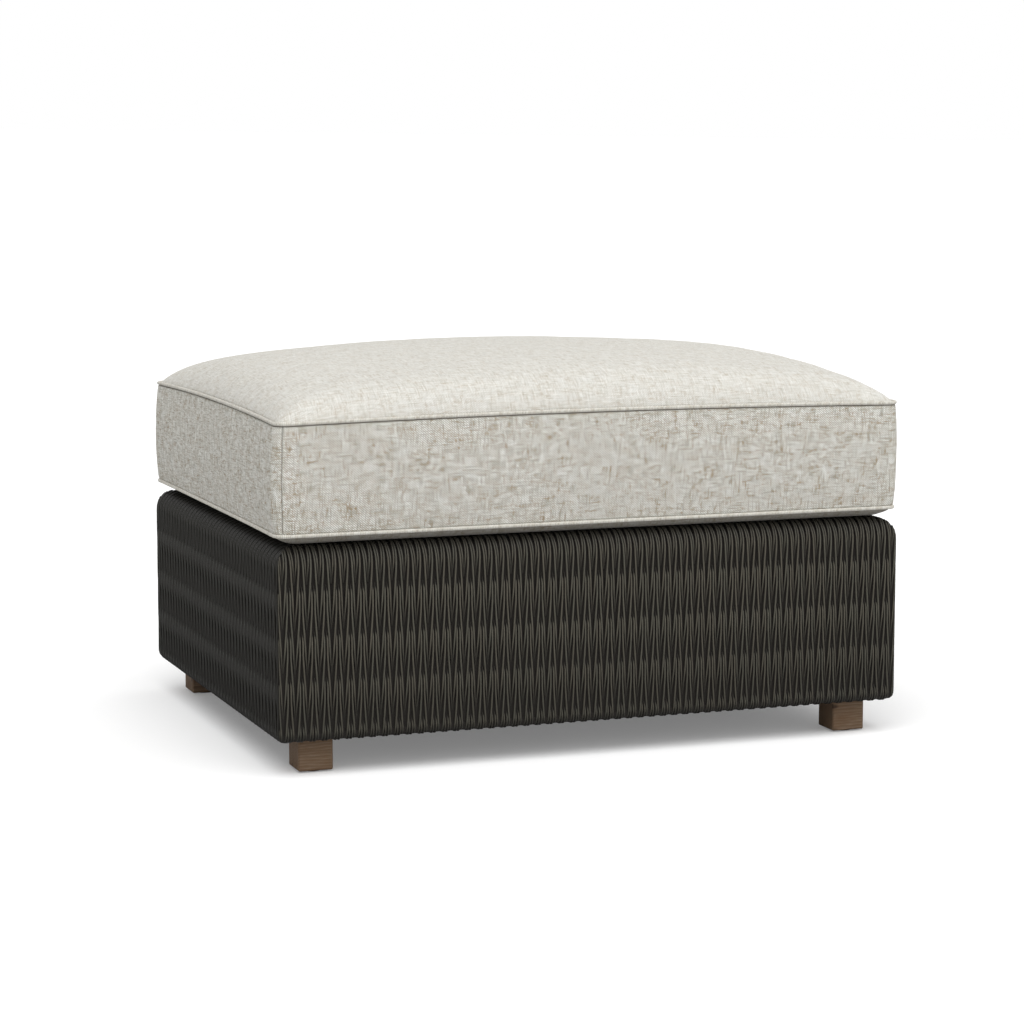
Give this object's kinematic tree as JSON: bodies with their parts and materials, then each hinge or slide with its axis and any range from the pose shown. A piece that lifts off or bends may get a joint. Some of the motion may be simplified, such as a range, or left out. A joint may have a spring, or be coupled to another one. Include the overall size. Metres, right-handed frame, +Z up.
{
  "type": "ottoman",
  "caption": "Rectangular ottoman: woven body on a welded frame with wooden block feet, and a loose crowned box cushion with welted seams and a zip in its back.",
  "frame": {"origin": "on the floor, under the middle of the body", "axes": "+X to the ottoman's right, +Y to its back, where the zip is, +Z up"},
  "size_m": [0.8184, 0.6184, 0.4875],
  "materials": {
    "cover_fabric": "pale slub weave",
    "welt_fabric": "pale slub weave over cord",
    "foam": "open-cell foam",
    "fibre": "polyester fibre sheet",
    "cane": "dark grey-brown synthetic cane",
    "frame_metal": "dark powder coat on aluminium",
    "foot_wood": "oiled, grain across the foot",
    "steel": "zinc-plated",
    "glide_plastic": "matt",
    "zip_tape": "woven tape",
    "zip_coil": "nylon coil",
    "zip_metal": "satin enamel"
  },
  "bodies": {
    "base": {"top_rail_front": "frame_metal", "top_rail_back": "frame_metal", "top_rail_left": "frame_metal", "top_rail_right": "frame_metal", "low_rail_front": "frame_metal", "low_rail_back": "frame_metal", "low_rail_left": "frame_metal", "low_rail_right": "frame_metal", "corner_post_fl": "frame_metal", "corner_post_fr": "frame_metal", "corner_post_bl": "frame_metal", "corner_post_br": "frame_metal", "middle_post_front": "frame_metal", "middle_post_back": "frame_metal", "cross_members": "frame_metal", "ribs_front": "frame_metal", "ribs_back": "frame_metal", "ribs_left": "frame_metal", "ribs_right": "frame_metal", "corner_ribs": "frame_metal", "woven_front": "cane", "woven_back": "cane", "woven_left": "cane", "woven_right": "cane", "woven_deck": "cane", "foot_fl": "foot_wood", "foot_fr": "foot_wood", "foot_bl": "foot_wood", "foot_br": "foot_wood", "foot_plates": "frame_metal", "foot_screws": "steel", "foot_washers": "steel", "foot_nuts": "steel", "foot_glides": "glide_plastic"},
    "cushion": {"top_panel": "cover_fabric", "bottom_panel": "cover_fabric", "boxing_front": "cover_fabric", "boxing_left": "cover_fabric", "boxing_right": "cover_fabric", "boxing_back_upper": "cover_fabric", "boxing_back_lower": "cover_fabric", "top_welt": "welt_fabric", "bottom_welt": "welt_fabric", "foam_core": "foam", "fibre_top": "fibre", "fibre_bottom": "fibre", "zip_tapes": "zip_tape", "zip_coils": "zip_coil", "zip_stops": "zip_metal"},
    "slider": {"zip_slider": "zip_metal"},
    "pull": {"zip_pull": "zip_metal"}
  },
  "joints": [
    {"name": "cushion_lift", "type": "slide", "parent": "base", "child": "cushion", "axis": [0, 0, 1], "range_m": [0, 0.25]},
    {"name": "zip_run", "type": "slide", "parent": "cushion", "child": "slider", "axis": [-1, 0, 0], "range_m": [0, 0.551]},
    {"name": "pull_swing", "type": "hinge", "parent": "slider", "child": "pull", "pos_m": [0.2755, 0.3084, 0.35525], "axis": [1, 0, 0], "range_deg": [0, 160]}
  ]
}
